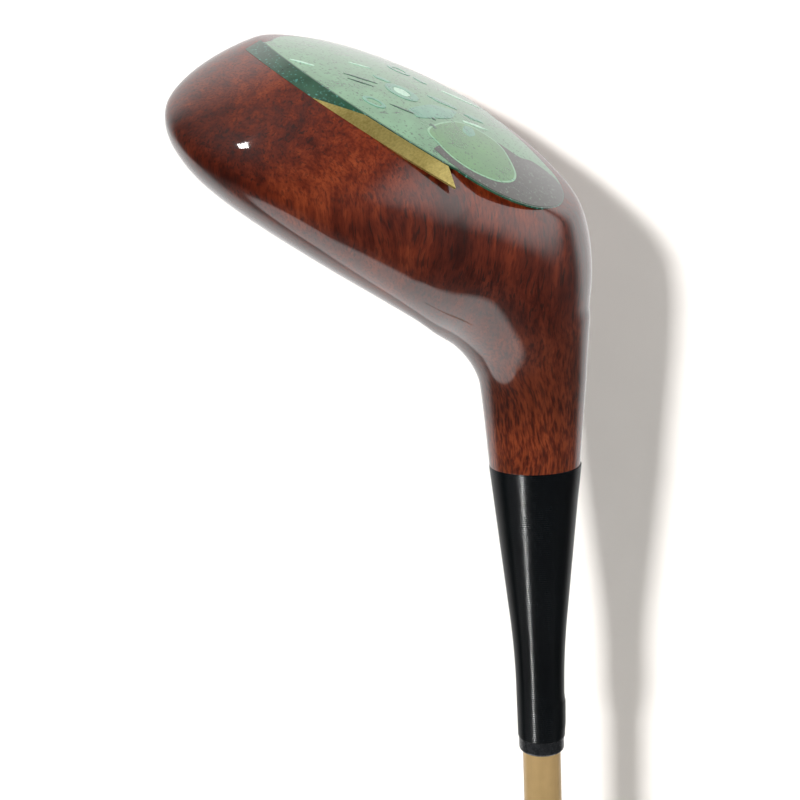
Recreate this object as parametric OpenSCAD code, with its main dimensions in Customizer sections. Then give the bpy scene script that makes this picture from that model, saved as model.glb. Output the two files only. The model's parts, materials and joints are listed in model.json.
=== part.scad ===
// Golf driver with a turned hardwood head, an enamelled sole plate and a whipped neck.
// The club stands on its butt cap: Z runs up the shaft, the toe points to -X and the face to +Y.

/* [Club] */
// Length from the butt cap to the ground line of the sole, along the shaft
club_length = 1092; // [1040:1:1180]
// Angle between the shaft and the ground line of the sole
lie_angle = 58; // [56:0.5:60]
// Loft of the face at its middle
loft_angle = 10.5; // [8:0.5:13]

/* [Head] */
// Reach of the toe from the shaft line, measured along the ground line
toe_reach = 70.5; // [62:0.5:85]
// Length over which the toe rounds off
toe_round = 30; // [24:1:36]
// Height of the point that the heel bends about
bend_height = 57; // [54:0.5:62]
// Distance of that point from the shaft line towards the heel
bend_inset = 3; // [1:0.5:5]
// Leading edge ahead of the shaft line
leading_edge = 22; // [19:0.5:24]
// Radius of the face bulge and roll
face_radius = 250; // [200:5:320]
// Radius of the sole camber
sole_radius = 150; // [130:5:190]
// Where the sole camber touches the ground line
sole_low_point = 22; // [16:1:28]
// Distance from the ground line to the top of the whipping, along the shaft
neck_length = 69; // [66:0.5:74]
// Radius of the neck where the whipping starts
neck_radius = 10.4; // [10:0.1:11]

/* [Back bevel] */
// Place of the bevel's centre along the ground line
bevel_u = 22.8; // [20:0.1:26]
// Place of the bevel's centre towards the face
bevel_v = 14.7; // [12:0.1:18]
// Radius of the bevel at the ground line
bevel_radius = 42.1; // [40:0.1:46]
// How far the bevel runs out for each millimetre towards the crown
bevel_run = 1.3; // [1:0.05:1.6]

/* [Sole plate] */
// Thickness of the plate and of the visible strip of the back weight
plate_thick = 1.6; // [1.4:0.1:2.4]
// Depth of the enamel in the plate
enamel_depth = 0.6; // [0.4:0.1:1]
// Radius of the plate's heel end
plate_heel_r = 19.7; // [17:0.1:22]
// Radius of the plate's toe end
plate_toe_r = 32; // [29:0.5:34]
// Rim of bare plate around the enamel
enamel_rim = 0.5; // [0.4:0.1:2]
// Length of the back weight along the plate's edge
weight_length = 19; // [16:1:22]
// Depth of the back weight's foot under the plate
weight_foot = 3.5; // [2:0.5:5]

/* [Face] */
// Width of the face insert at its top
insert_width = 32; // [26:1:38]
// Height of the face insert above the plate
insert_height = 25; // [20:1:27]
// Depth of the face insert
insert_depth = 6; // [4:0.5:8]
// Depth of the score lines
score_depth = 0.35; // [0.2:0.05:0.6]
// Width of a score line
score_width = 0.8; // [0.5:0.1:1.2]

/* [Shaft] */
// Radius of the shaft in the neck
shaft_tip_r = 4.45; // [4.2:0.05:4.6]
// Radius of the shaft under the grip
shaft_butt_r = 7.6; // [7:0.05:7.8]
// Wall of the shaft
shaft_wall = 0.45; // [0.35:0.05:0.8]
// Distance from the ground line to the shaft's tip
tip_depth = 26; // [20:1:34]
// Number of step-downs
steps = 11; // [8:1:14]

/* [Whipping] */
// Length of the whipping
whip_length = 66; // [60:1:70]
// Share of the whipping over which it tapers steeply
whip_taper = 0.68; // [0.6:0.01:0.8]
// Radius of the whipping where the steep taper ends
whip_waist_r = 5.75; // [5.6:0.05:6]
// Radius of the whipping at its lower end
whip_end_r = 5.5; // [5.4:0.05:5.6]
// Radial thickness of the wound thread
whip_thick = 0.6; // [0.4:0.05:0.7]
// Length of the ferrule below the neck's wood
ferrule_length = 36; // [28:1:42]

/* [Grip] */
// Length of the grip
grip_length = 268; // [250:1:280]
// Radius of the grip at the butt
grip_butt_r = 13.2; // [12.4:0.1:14]
// Radius of the grip at its mouth
grip_mouth_r = 9.4; // [9:0.1:10]
// Thickness of the grip cap's flange
cap_thick = 4; // [3:0.5:6]
// Radius of the vent hole in the cap
vent_r = 1.6; // [1.2:0.1:2]
// Length of the cap's plug inside the shaft
cap_plug = 8; // [6:1:12]

/* [Fits] */
// Glue line around glued and screwed pieces
glue_gap = 0.05; // [0.02:0.01:0.1]

/* [Hidden] */
$fn = 96;

// Section stations along the head's spine. Each row is the distance along the spine, then the
// centre's offset to the face and to the crown, the reach to the face, back, crown and sole,
// and the roundness of the face-crown, back-crown, back-sole and face-sole quarters.
STATIONS = [
    [-95, -12, -6.0, 36.0, 36.0, 13.0, 25.0, 2.6, 2.0, 1.5, 2.6],
    [-75, -12, -6.5, 36.0, 36.0, 13.0, 25.0, 2.6, 2.0, 1.5, 2.6],
    [-55, -12, -7.5, 38.0, 40.0, 14.5, 25.0, 2.6, 2.0, 1.5, 2.6],
    [-38, -12, -8.0, 40.0, 42.0, 15.8, 26.0, 2.6, 2.0, 1.5, 2.6],
    [-20, -11, -8.0, 38.0, 39.0, 16.4, 26.0, 2.6, 2.0, 1.5, 2.6],
    [0, -7, -5.0, 32.0, 29.0, 15.4, 26.0, 2.4, 2.0, 1.6, 2.4],
    [6, -5, -3.0, 28.0, 24.0, 14.8, 24.0, 2.3, 2.0, 1.7, 2.3],
    [12, -3, -2.0, 22.0, 18.5, 14.2, 19.0, 2.2, 2.0, 1.9, 2.2],
    [18, -1.5, -1.0, 15.0, 15.0, 13.4, 14.5, 2.1, 2.0, 2.0, 2.1],
    [24, -0.3, 0, 12.6, 12.8, 12.2, 12.2, 2, 2, 2, 2],
    [30, 0, 0, 11.2, 11.2, 11.2, 11.2, 2, 2, 2, 2],
    [48, 0, 0, 9, 9, 9, 9, 2, 2, 2, 2]
];
TOE_POWER = 2.2;
RINGS = 44;
SIDES = 48;

bend_r = bend_height * cos(lie_angle) - bend_inset * sin(lie_angle);
bend_len = bend_r * lie_angle * PI / 180;
bend_end = bend_height * sin(lie_angle) + bend_inset * cos(lie_angle);
spine_start = -(toe_reach + bend_inset);
face_middle = [26, 20];
neck_root = 30;
neck_flare = 0.07;
spine_end = bend_len + neck_length - bend_end - 10;

outside = 60;
raise = 25;
insert_top_u = 30;
insert_corner = 5;
score_count = 6;
score_pitch = 3.6;
score_start = 4;
score_margin = 1.3;
insert_foot_ratio = 0.8;
plate_heel = [6, -8];
plate_toe = [30, -3];
weight_start = 4;
weight_heel_skew = 4.3;
weight_toe_skew = 12;
strip_drop = 3;
weight_arc = [23.5, 21.3];
weight_arc_r = 52.5;
foot_inset = 3;
foot_width = 9;
foot_back = -31;
weight_end = weight_start + weight_length;
weight_toe_u = 60;
bevel_low = 10;
bevel_high = 100;
band_swell = 0.35;
band_length = 11;
lobe_at = [8, -14.5];
lobe_size = [12.5, 9.8];
ring_marks = [[27.5, -12, 4.2], [27, -25, 3], [38, 6, 3.4]];
bar_marks = [
    [19, -3, 20, 3, 8], [15, 5, 40, 2.4, 9], [35, -17, -60, 1.1, 6], [37.5, -15.5, -60, 1.1, 5],
    [47, -20, -50, 1.2, 5]
];
plate_screws = [[-3, -6], [24, 10], [32, -22], [52, -6]];
weight_screws = [[10, -26.5], [18, -27]];
insert_screws = [[-9, 6], [9, 6], [-9, 19], [9, 19]];
slug_at = [30, -4];
slug_r = 7;
slug_length = 13;
plug_length = 4;
pin_r = 1;
pin_at = neck_length + 14;
wood_end = neck_length + whip_length - ferrule_length;
whip_foot = neck_length + whip_length;
ferrule_lip = 3.5;
ferrule_end = whip_foot + ferrule_lip;
whip_waist = neck_length + whip_length * whip_taper;
plug_wall = 1.8;
step_first = 300;
step_pitch = 42;
tape_thick = 0.25;
sleeve_bore = shaft_butt_r + glue_gap + tape_thick;

// Rate of change of the section between two neighbouring stations
function chord(i) = (STATIONS[i + 1] - STATIONS[i]) / (STATIONS[i + 1][0] - STATIONS[i][0]);

// Rate of change at a station: the mean of its two chords
function grade(i) =
    i == 0 ? chord(0) : i == len(STATIONS) - 1 ? chord(i - 1) : (chord(i - 1) + chord(i)) / 2;

// Index of the stretch that holds a distance along the spine
function stretch(x, i = 0) =
    i == len(STATIONS) - 2 || x < STATIONS[i + 1][0] ? i : stretch(x, i + 1);

// Section values at any distance, by a cubic through the stations
function section(x) =
    let(i = stretch(x), h = STATIONS[i + 1][0] - STATIONS[i][0], t = (x - STATIONS[i][0]) / h)
    (2 * t ^ 3 - 3 * t ^ 2 + 1) * STATIONS[i] + (t ^ 3 - 2 * t ^ 2 + t) * h * grade(i)
    + (3 * t ^ 2 - 2 * t ^ 3) * STATIONS[i + 1] + (t ^ 3 - t ^ 2) * h * grade(i + 1);

// How much of the section is left as the toe rounds off
function toe_scale(x) =
    let(q = max(0, (spine_start + toe_round - x) / toe_round))
    q >= 1 ? 0 : (1 - q ^ TOE_POWER) ^ (1 / TOE_POWER);

// A cosine or sine raised for a superellipse of roundness n
function rounded(c, n) = sign(c) * pow(abs(c), 2 / n);

// Point of the spine's section: x along the spine, v to the face, e to the crown
function on_spine(x, v, e) =
    let(
        a = min(max(x / bend_r * 180 / PI, 0), lie_angle),
        past = max(x - bend_len, 0),
        before = max(-x, 0),
        r = bend_r - e
    )
    [
        before - bend_inset - r * sin(a) - past * cos(lie_angle),
        v,
        bend_height - r * cos(a) + past * sin(lie_angle)
    ];

// One ring of the head's skin
function skin_ring(x) =
    let(s = section(x), k = toe_scale(x))
    [
        for (j = [0 : SIDES - 1])
            let(
                a = j * 360 / SIDES,
                n = sin(a) >= 0 ? (cos(a) >= 0 ? s[7] : s[8]) : (cos(a) >= 0 ? s[10] : s[9]),
                reach_v = cos(a) >= 0 ? s[3] : s[4],
                reach_e = sin(a) >= 0 ? s[5] : s[6]
            )
            on_spine(x, s[1] + k * reach_v * rounded(cos(a), n), s[2] + k * reach_e * rounded(sin(a), n))
    ];

// Distances of the rings: closer together where the toe rounds off
TOE_RINGS = 12;
ring_x = concat(
    [for (i = [1 : TOE_RINGS]) spine_start + toe_round * (1 - cos(i * 90 / TOE_RINGS))],
    [
        for (i = [1 : RINGS - TOE_RINGS])
            spine_start + toe_round + (spine_end - spine_start - toe_round) * i / (RINGS - TOE_RINGS)
    ]
);

// Height of the sole's surface at a point of the ground plan
function sole_height(p) =
    sole_radius - sqrt(sole_radius ^ 2 - (p[0] - sole_low_point) ^ 2 - p[1] ^ 2);

// Radius of the bare neck at a distance up from the ground line
function neck_r(t) = neck_radius + neck_flare * (neck_length - t);

// Radius of the whipping at a distance down the shaft: a steep taper, then a slight one
function whip_r(t) =
    t < whip_waist
    ? neck_radius + (whip_waist_r - neck_radius) * (t - neck_length) / (whip_waist - neck_length)
    : whip_waist_r + (whip_end_r - whip_waist_r) * (t - whip_waist) / (whip_foot - whip_waist);

// Radius of the cone under the thread
function cone_r(t) = whip_r(t) - whip_thick;

// Radius of the stepped shaft at a height above the butt
function shaft_r(i) = shaft_butt_r + (shaft_tip_r - shaft_butt_r) * i / steps;

// Head frame to club frame: the ground line turns to the lie angle at the end of the shaft
module at_head() {
    translate([0, 0, club_length]) rotate([0, -90 - lie_angle, 0]) children();
}

// Shaft frame with its start on the ground line and Z running down towards the butt
module down_shaft(t) {
    translate([0, 0, club_length - t]) mirror([0, 0, 1]) children();
}

// The head's whole skin, before the face and the sole are cut
module head_skin() {
    apex = on_spine(spine_start, section(spine_start)[1], section(spine_start)[2]);
    end = on_spine(spine_end, 0, 0);
    points = concat([apex], [for (x = ring_x) each skin_ring(x)], [end]);
    last = len(points) - 1;
    faces = concat(
        [for (j = [0 : SIDES - 1]) [0, 1 + (j + 1) % SIDES, 1 + j]],
        [
            for (i = [0 : RINGS - 2], j = [0 : SIDES - 1])
                let(a = 1 + i * SIDES, b = a + SIDES, k = (j + 1) % SIDES)
                each [[a + j, b + k, b + j], [a + j, a + k, b + k]]
        ],
        [for (j = [0 : SIDES - 1]) [last, last - SIDES + j, last - SIDES + (j + 1) % SIDES]]
    );
    polyhedron(points = points, faces = faces);
}

// Ball whose surface lies a given depth under the face, with bulge and roll
module face_ball(depth = 0) {
    translate([face_middle[0], leading_edge - face_middle[1] * tan(loft_angle), face_middle[1]])
        rotate([loft_angle, 0, 0])
            translate([0, -face_radius, 0]) sphere(r = face_radius - depth, $fn = 200);
}

// Cone whose surface is the bevel between the sole and the skirt
module back_bevel() {
    translate([bevel_u, bevel_v, -bevel_low])
        cylinder(
            r1 = bevel_radius - bevel_low * bevel_run,
            r2 = bevel_radius + bevel_high * bevel_run,
            h = bevel_low + bevel_high,
            $fn = 200
        );
}

// Ball whose surface lies a given depth under the sole
module sole_ball(depth = 0) {
    translate([sole_low_point, 0, sole_radius])
        rotate([90, 0, 0]) sphere(r = sole_radius - depth, $fn = 200);
}

// The finished outside of the head
module head_shape() {
    intersection() {
        head_skin();
        face_ball();
        sole_ball();
        back_bevel();
    }
}

// A plan outline of the sole, raised through the head down to a given depth
module sole_layer(depth) {
    difference() {
        raised() children();
        sole_ball(depth);
    }
}

// Points along an arc in plan, from one angle to another
function arc(centre, r, from, to, n) =
    [for (i = [0 : n]) centre + r * [cos(from + (to - from) * i / n), sin(from + (to - from) * i / n)]];

// Angle at which an arc reaches a place along the ground line, on the back side
function angle_at(centre, r, u) = -acos((u - centre[0]) / r);

// Place of the strip's lower edge, a little past the plate's edge
strip_low = weight_arc[1] - weight_arc_r - strip_drop;

// Heel end of a plan outline, from the front round to the back
function heel_arc(rim = 0) = arc(plate_heel, plate_heel_r - rim, 125, 261, 24);

// Toe end of a plan outline, from the back round to the leading edge
function toe_arc(rim = 0) = arc(plate_toe, plate_toe_r - rim, -36, 61, 18);

// Edge between the plate and the back weight, from one place along the ground line to another
function back_arc(from, to, rim = 0) =
    let(r = weight_arc_r - rim)
    arc(weight_arc, r, angle_at(weight_arc, r, from), angle_at(weight_arc, r, to), 16);

// Front of a plan outline, past the leading edge, back to the heel
function front_edge(rim = 0) =
    [[46, 40], [27, 40], [27, 20.5 - rim], [13, 15 - rim]];

// Plan outline of the plate and the back weight together
module sole_outline() {
    polygon(concat(
        heel_arc(),
        [[weight_start, -outside], [weight_toe_u, -outside]],
        toe_arc(),
        front_edge()
    ));
}

// Plan outline of the plate alone
module plate_outline() {
    polygon(concat(
        heel_arc(),
        back_arc(weight_start, weight_end),
        [
            [weight_end + weight_toe_skew, strip_low], [weight_end + weight_toe_skew, -outside],
            [weight_toe_u, -outside]
        ],
        toe_arc(),
        front_edge()
    ));
}

// Plan outline of the back weight's strip
module weight_outline() {
    polygon(concat(
        [
            [weight_start - weight_heel_skew, strip_low], [weight_start - weight_heel_skew, -outside],
            [weight_end + weight_toe_skew, -outside], [weight_end + weight_toe_skew, strip_low]
        ],
        back_arc(weight_end, weight_start)
    ));
}

// Plan outline of the back weight's foot, under the plate
module foot_outline() {
    translate([weight_start + foot_inset, foot_back]) square([weight_length - 2 * foot_inset, foot_width]);
}

// Plan outline of the enamelled area
module enamel_outline() {
    polygon(concat(
        heel_arc(enamel_rim), back_arc(weight_start + 1, 55, enamel_rim),
        toe_arc(enamel_rim), front_edge(enamel_rim)
    ));
}

// Plan outline of the dark field, drawn past the plate's heel end
module dark_outline() {
    polygon([[9, -40], [9, -6], [6, -3.5], [1, -1.5], [-2, 3.5], [-12, 9], [-30, 9], [-30, -40]]);
}

// Plan outline of the lobe that reaches into the dark field
module lobe_outline() {
    polygon([for (a = [0 : 10 : 350]) lobe_at + [lobe_size[0] * cos(a), lobe_size[1] * sin(a)]]);
}

// Plan outline of a ring-shaped mark
module ring_mark(at, r) {
    translate(at) difference() {
        circle(r = r, $fn = 32);
        circle(r = r * 0.55, $fn = 32);
    }
}

// Loose marks: rings, a crescent and short bars, each a plan outline given to children
module mark_layers(up) {
    for (m = ring_marks)
        translate([0, 0, -up]) linear_extrude(2 * up) ring_mark([m[0], m[1]], m[2]);
    for (m = bar_marks)
        translate([m[0], m[1], -up]) rotate([0, 0, m[2]]) linear_extrude(2 * up)
            square([m[3], m[4]], center = true);
}

// Flat-headed wood screw, its head's top at the origin and its point towards +Z
module wood_screw(head_r, length) {
    cylinder(r1 = head_r, r2 = head_r / 2, h = head_r / 2, $fn = 32);
    cylinder(r = head_r / 2, h = length - head_r, $fn = 32);
    translate([0, 0, length - head_r]) cylinder(r1 = head_r / 2, r2 = 0.3, h = head_r, $fn = 32);
}

// Each set of screws is drawn once, and again a gap wider to make its holes
module plate_screw_set(gap = 0) {
    for (p = plate_screws)
        translate([p[0], p[1], sole_height(p) + enamel_depth]) wood_screw(3.2 + gap, 18);
}

module weight_screw_set(gap = 0) {
    for (p = weight_screws)
        translate([p[0], p[1], sole_height(p) + plate_thick + 0.2]) wood_screw(2.4 + gap, 14);
}

// Frame of the insert: its origin at the foot of the insert, on the loft plane, Y out of the face
module at_face() {
    translate([insert_top_u, leading_edge, 0]) rotate([loft_angle, 0, 0]) children();
}

module insert_screw_set(gap = 0) {
    for (p = insert_screws)
        at_face() translate([p[0], 0.6, plate_thick + p[1]]) rotate([90, 0, 0]) wood_screw(2.6 + gap, 20);
}

// The insert's tapered block, deep enough to be cut by the face
module insert_block() {
    foot = insert_width * insert_foot_ratio / 2;
    top = insert_width / 2;
    at_face()
        translate([0, 10, 0]) rotate([90, 0, 0])
            linear_extrude(10 + insert_depth)
                polygon([
                    [-foot, -8], [foot, -8], [top, insert_height - insert_corner],
                    [top - insert_corner, insert_height + plate_thick],
                    [insert_corner - top, insert_height + plate_thick], [-top, insert_height - insert_corner]
                ]);
}

// Score lines: shallow grooves in the insert that follow the face
module score_lines() {
    reach = insert_width * insert_foot_ratio - 2 * score_margin;
    difference() {
        for (i = [0 : score_count - 1])
            at_face()
                translate([-reach / 2, -12, plate_thick + score_start + i * score_pitch])
                    cube([reach, 22, score_width]);
        face_ball(score_depth);
    }
}

module head_body() {
    color("#7a2d17")
        difference() {
            union() {
                at_head() head_shape();
                down_shaft(neck_root)
                    cylinder(r1 = neck_r(neck_root), r2 = neck_radius, h = neck_length - neck_root);
                down_shaft(neck_length - 1)
                    cylinder(
                        r1 = cone_r(neck_length - 1), r2 = cone_r(wood_end), h = wood_end - neck_length + 1
                    );
            }
            at_head() sole_layer(plate_thick) sole_outline();
            at_head() sole_layer(plate_thick + weight_foot) foot_outline();
            at_head() insert_block();
            at_head() plate_screw_set(glue_gap);
            at_head() weight_screw_set(glue_gap);
            at_head() insert_screw_set(glue_gap);
            at_head()
                translate([slug_at[0], slug_at[1], 0])
                    cylinder(r = slug_r, h = sole_height(slug_at) + plate_thick + plug_length + slug_length);
            down_shaft(tip_depth - 1) cylinder(r = shaft_tip_r + glue_gap, h = wood_end);
            down_shaft(pin_at)
                rotate([90, 0, 0])
                    cylinder(r = pin_r + glue_gap, h = 2 * neck_radius, center = true, $fn = 32);
        }
}

module face_insert() {
    color("#8c1b18")
        at_head() difference() {
            intersection() {
                insert_block();
                face_ball();
                sole_ball(plate_thick);
            }
            score_lines();
            insert_screw_set(glue_gap);
        }
}

module face_insert_screws() {
    color("#b8963e")
        at_head() intersection() {
            insert_screw_set();
            face_ball();
        }
}

module sole_plate() {
    color("#2f6b52")
        at_head() difference() {
            intersection() {
                head_shape();
                sole_layer(plate_thick) plate_outline();
            }
            sole_layer(enamel_depth) enamel_outline();
            plate_screw_set(glue_gap);
        }
}

module sole_plate_screws() {
    color("#b8963e")
        at_head() intersection() {
            plate_screw_set();
            sole_ball(enamel_depth);
        }
}

// The skin of the sole, down to the enamel's depth
module enamel_skin() {
    difference() {
        intersection() {
            sole_ball();
            face_ball();
        }
        sole_ball(enamel_depth);
    }
}

// A plan outline raised through the sole
module raised() {
    translate([0, 0, -raise]) linear_extrude(2 * raise) children();
}

module sole_enamel_field() {
    color("#3f9b78")
        at_head() difference() {
            intersection() {
                enamel_skin();
                raised() enamel_outline();
            }
            raised() dark_outline();
            raised() lobe_outline();
            mark_layers(raise);
        }
}

module sole_dark_field() {
    color("#1f1712")
        at_head() difference() {
            intersection() {
                enamel_skin();
                raised() enamel_outline();
                raised() dark_outline();
            }
            raised() lobe_outline();
        }
}

module sole_lobe() {
    color("#5fae7d")
        at_head() difference() {
            intersection() {
                enamel_skin();
                raised() lobe_outline();
            }
            mark_layers(raise);
        }
}

module sole_marks() {
    color("#5fd0c0")
        at_head() intersection() {
            enamel_skin();
            mark_layers(raise);
        }
}

module back_weight() {
    color("#c79a3c")
        at_head() difference() {
            intersection() {
                head_shape();
                union() {
                    sole_layer(plate_thick) weight_outline();
                    sole_layer(plate_thick + weight_foot) foot_outline();
                }
            }
            sole_layer(plate_thick) plate_outline();
            weight_screw_set(glue_gap);
        }
}

module back_weight_screws() {
    color("#b8963e")
        at_head() weight_screw_set();
}

module lead_hole_plug() {
    color("#b98f5f")
        at_head() intersection() {
            translate([slug_at[0], slug_at[1], 0])
                cylinder(r = slug_r, h = sole_height(slug_at) + plate_thick + plug_length);
            sole_ball(plate_thick);
        }
}

module lead_slug() {
    color("#6f7276")
        at_head()
            translate([slug_at[0], slug_at[1], sole_height(slug_at) + plate_thick + plug_length])
                cylinder(r = slug_r, h = slug_length);
}

module neck_pin() {
    color("#b8963e")
        down_shaft(pin_at)
            rotate([90, 0, 0]) cylinder(r = pin_r, h = 2 * cone_r(pin_at) - 1, center = true, $fn = 32);
}

// Ring turned round the shaft between two profiles, each a list of distances down the shaft,
// with an outer radius from whip_r plus a swell and an inner radius that much less a thickness
module wound(stops, swell, thick) {
    translate([0, 0, club_length])
        rotate_extrude()
            polygon(concat(
                [for (t = stops) [whip_r(t) + swell, -t]],
                [for (i = [len(stops) - 1 : -1 : 0]) [whip_r(stops[i]) + swell - thick, -stops[i]]]
            ));
}

module neck_ferrule() {
    bore = shaft_tip_r + glue_gap;
    color("#151515")
        translate([0, 0, club_length])
            rotate_extrude()
                polygon([
                    [cone_r(wood_end), -wood_end], [cone_r(whip_waist), -whip_waist],
                    [cone_r(whip_foot), -whip_foot], [whip_end_r - 0.2, -whip_foot],
                    [whip_end_r - 0.2, -ferrule_end + 0.6], [whip_end_r - 0.7, -ferrule_end],
                    [bore, -ferrule_end], [bore, -wood_end]
                ]);
}

module neck_whipping() {
    color("#0c0c0e") wound([neck_length, whip_waist, whip_foot], 0, whip_thick);
}

module whipping_end_band() {
    color("#0c0c0e") wound([whip_foot - band_length - 1, whip_foot - 1], band_swell, band_swell);
}

module shaft() {
    tip_z = club_length - tip_depth;
    outline = concat(
        [[shaft_butt_r, cap_thick]],
        [
            for (i = [0 : steps - 1])
                let(z = step_first + i * step_pitch)
                each [[shaft_r(i), z], [shaft_r(i + 1), z + 1]]
        ],
        [[shaft_tip_r, tip_z]]
    );
    color("#c2a266")
        difference() {
            rotate_extrude()
                polygon(concat(
                    outline,
                    [for (i = [len(outline) - 1 : -1 : 0]) outline[i] - [shaft_wall, 0]]
                ));
            down_shaft(pin_at)
                rotate([90, 0, 0]) cylinder(r = pin_r + glue_gap, h = 20, center = true, $fn = 32);
        }
}

module shaft_tip_plug() {
    color("#b98f5f")
        down_shaft(tip_depth) cylinder(r = shaft_tip_r - shaft_wall - glue_gap, h = 10);
}

module grip_tape() {
    color("#d9cfb2")
        difference() {
            translate([0, 0, cap_thick]) cylinder(r = sleeve_bore - glue_gap, h = grip_length - 12);
            translate([0, 0, cap_thick - 1]) cylinder(r = shaft_butt_r + glue_gap, h = grip_length);
        }
}

module grip_sleeve() {
    mouth = 2;
    color("#1b1b1b")
        rotate_extrude() polygon([
            [sleeve_bore, cap_thick], [grip_butt_r, cap_thick], [grip_butt_r, cap_thick + 12],
            [grip_butt_r - 1.2, cap_thick + 30], [grip_mouth_r, grip_length - mouth],
            [grip_mouth_r - 0.6, grip_length], [sleeve_bore, grip_length]
        ]);
}

module grip_cap() {
    color("#242424")
        difference() {
            union() {
                cylinder(r1 = grip_butt_r - 0.8, r2 = grip_butt_r, h = cap_thick);
                cylinder(r = shaft_butt_r - shaft_wall - glue_gap, h = cap_thick + cap_plug);
            }
            translate([0, 0, -1]) cylinder(r = vent_r, h = cap_thick + 2);
            translate([0, 0, cap_thick])
                cylinder(r = shaft_butt_r - shaft_wall - plug_wall, h = cap_plug + 1);
        }
}

head_body();
face_insert();
face_insert_screws();
sole_plate();
sole_plate_screws();
sole_enamel_field();
sole_dark_field();
sole_lobe();
sole_marks();
back_weight();
back_weight_screws();
lead_slug();
lead_hole_plug();
neck_pin();
neck_ferrule();
neck_whipping();
whipping_end_band();
shaft();
shaft_tip_plug();
grip_tape();
grip_sleeve();
grip_cap();
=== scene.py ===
import json
import math

import bpy
import numpy as np
from mathutils import Matrix, Vector


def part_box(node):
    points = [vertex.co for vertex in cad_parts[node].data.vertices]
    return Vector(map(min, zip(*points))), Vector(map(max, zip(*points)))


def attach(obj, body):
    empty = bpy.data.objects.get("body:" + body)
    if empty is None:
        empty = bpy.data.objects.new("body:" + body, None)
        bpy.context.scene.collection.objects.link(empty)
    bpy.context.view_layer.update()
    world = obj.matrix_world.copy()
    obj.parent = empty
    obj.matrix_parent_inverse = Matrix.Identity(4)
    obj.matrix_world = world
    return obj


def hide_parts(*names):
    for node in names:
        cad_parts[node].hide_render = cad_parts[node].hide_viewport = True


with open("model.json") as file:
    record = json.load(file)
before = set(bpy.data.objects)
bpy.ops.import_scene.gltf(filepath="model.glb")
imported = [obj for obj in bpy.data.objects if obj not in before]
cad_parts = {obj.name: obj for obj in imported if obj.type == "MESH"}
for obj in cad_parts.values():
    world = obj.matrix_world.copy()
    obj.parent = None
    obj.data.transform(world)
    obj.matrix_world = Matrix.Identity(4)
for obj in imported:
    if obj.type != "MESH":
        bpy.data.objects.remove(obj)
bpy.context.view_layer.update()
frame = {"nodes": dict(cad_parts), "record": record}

# Golf driver, standing on its butt. The head is worked out in its own frame, in millimetres:
# u towards the toe, v towards the face, w towards the crown, from the ground line at the shaft.
metresPerMm = 0.001

head = {
    "lie": 58.0,            # degrees between the shaft and the ground line
    "loft": 10.5,
    "neckLength": 69.0,     # ground line to the top of the whipping, along the shaft
    "neckRadius": 10.4,
    "neckFlare": 0.07,      # growth of the neck's radius per mm towards the head
    "neckRoot": 30.0,
    "bendHeight": 57.0,
    "bendInset": 3.0,
    "toeReach": 70.5,
    "toeRound": 30.0,
    "toePower": 2.2,
    "leadingEdge": 22.0,
    "faceRadius": 250.0,
    "faceMiddle": (26.0, 20.0),
    "soleRadius": 150.0,
    "soleLowPoint": 22.0,
    "crestRound": 0.8,      # widths over which the cut edges are rounded
    "faceRound": 0.9,
    "neckBlend": 2.5,
    "woodEnd": 72.0,        # where the seen wood closes, just inside the whipping
    "bevelCentre": (22.8, 14.7),
    "bevelRadius": 42.1,    # at the ground line
    "bevelRun": 1.3,        # how far the bevel runs out for each mm towards the crown
    "bevelRound": 4.0,
}

# distance along the spine, centre to the face and crown, reach to face, back, crown and sole,
# then roundness of the face-crown, back-crown, back-sole and face-sole quarters
stations = np.array([
    [-95, -12, -6.0, 36, 36, 13.0, 25, 2.6, 2.0, 1.5, 2.6],
    [-75, -12, -6.5, 36, 36, 13.0, 25, 2.6, 2.0, 1.5, 2.6],
    [-55, -12, -7.5, 38, 40, 14.5, 25, 2.6, 2.0, 1.5, 2.6],
    [-38, -12, -8.0, 40, 42, 15.8, 26, 2.6, 2.0, 1.5, 2.6],
    [-20, -11, -8.0, 38, 39, 16.4, 26, 2.6, 2.0, 1.5, 2.6],
    [0, -7, -5.0, 32, 29, 15.4, 26, 2.4, 2.0, 1.6, 2.4],
    [6, -5, -3.0, 28, 24, 14.8, 24, 2.3, 2.0, 1.7, 2.3],
    [12, -3, -2.0, 22, 18.5, 14.2, 19, 2.2, 2.0, 1.9, 2.2],
    [18, -1.5, -1.0, 15, 15, 13.4, 14.5, 2.1, 2.0, 2.0, 2.1],
    [24, -0.3, 0, 12.6, 12.8, 12.2, 12.2, 2, 2, 2, 2],
    [30, 0, 0, 11.2, 11.2, 11.2, 11.2, 2, 2, 2, 2],
    [48, 0, 0, 9, 9, 9, 9, 2, 2, 2, 2],
])
lieAngle = math.radians(head["lie"])
loftAngle = math.radians(head["loft"])
bendRadius = head["bendHeight"] * math.cos(lieAngle) - head["bendInset"] * math.sin(lieAngle)
bendLength = bendRadius * lieAngle
bendEnd = head["bendHeight"] * math.sin(lieAngle) + head["bendInset"] * math.cos(lieAngle)
spineStart = -(head["toeReach"] + head["bendInset"])
spineEnd = bendLength + head["woodEnd"] - bendEnd
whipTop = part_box("neck_whipping")[1].z
groundLine = whipTop + head["neckLength"] * metresPerMm      # height of the head's own origin


# The larger of two values, eased over a width: adds width/4 where they meet, nothing outside it
def softMax(a, b, width):
    near = np.clip(1 - np.abs(a - b) / width, 0, 1)
    return np.maximum(a, b) + width * near ** 2 / 4


# 0 below low, 1 above high, and 3t^2 - 2t^3 between
def easeBetween(low, high, value):
    t = np.clip((value - low) / (high - low), 0, 1)
    return t * t * (3 - 2 * t)


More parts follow.
